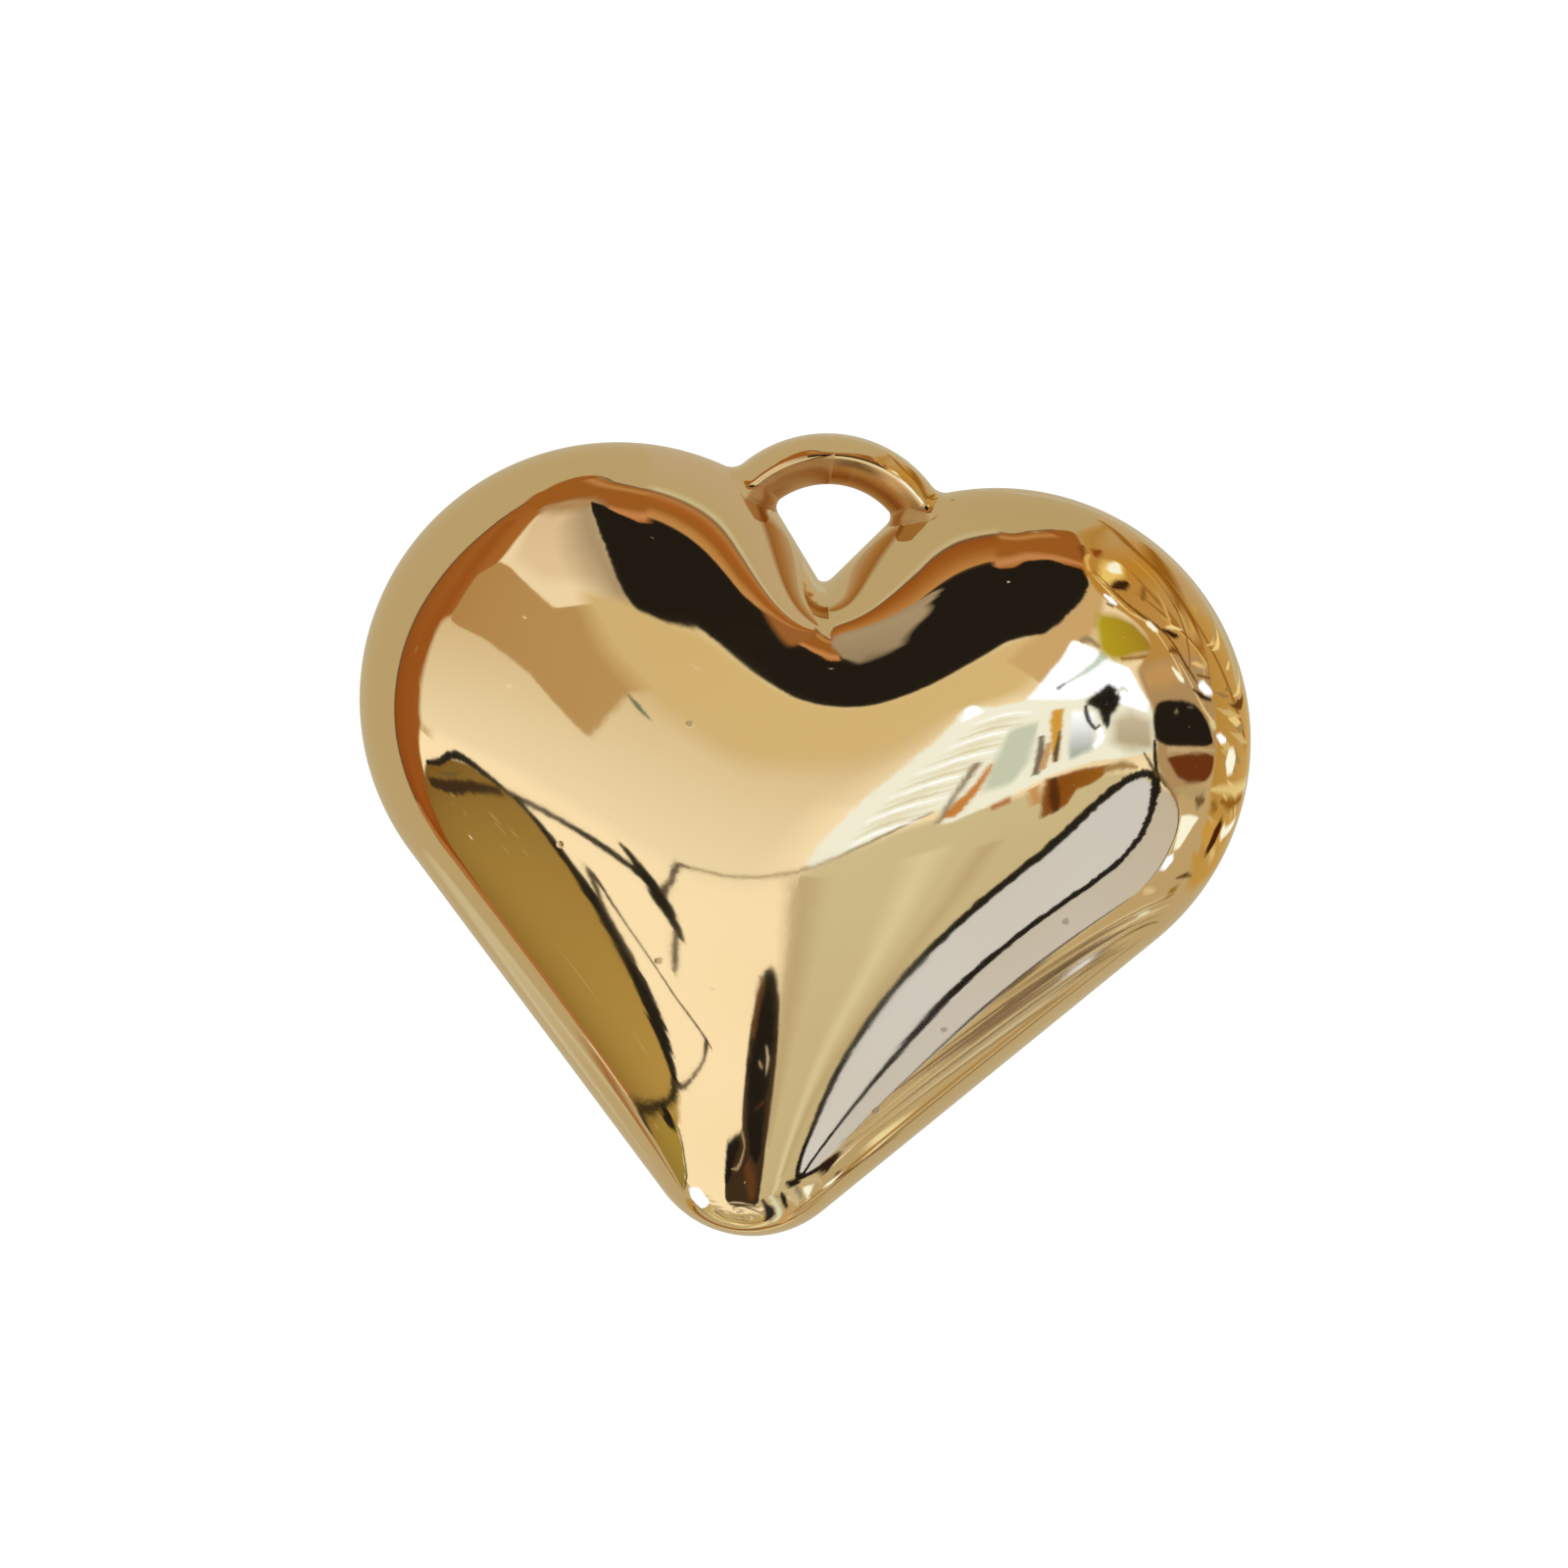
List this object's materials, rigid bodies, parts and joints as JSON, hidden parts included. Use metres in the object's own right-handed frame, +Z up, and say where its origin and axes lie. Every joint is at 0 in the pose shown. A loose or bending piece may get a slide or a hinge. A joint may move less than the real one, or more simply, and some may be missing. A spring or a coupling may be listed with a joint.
{
  "type": "heart charm",
  "caption": "Puffed mirror-gold heart charm with rounded edges and a moulded-on ring in its cleft, to hang from a bag, wallet or key ring.",
  "frame": {"origin": "centre of the ring's eye, in the middle of the thickness", "axes": "+Z up the heart's axis through the top of the ring, +X across the lobes, +Y from the front face to the back along the eye"},
  "size_m": [0.03, 0.0104, 0.0273],
  "materials": {
    "gold_plate": "mirror-bright gold plating"
  },
  "bodies": {
    "root": {"heart_charm": "gold_plate"}
  },
  "joints": []
}
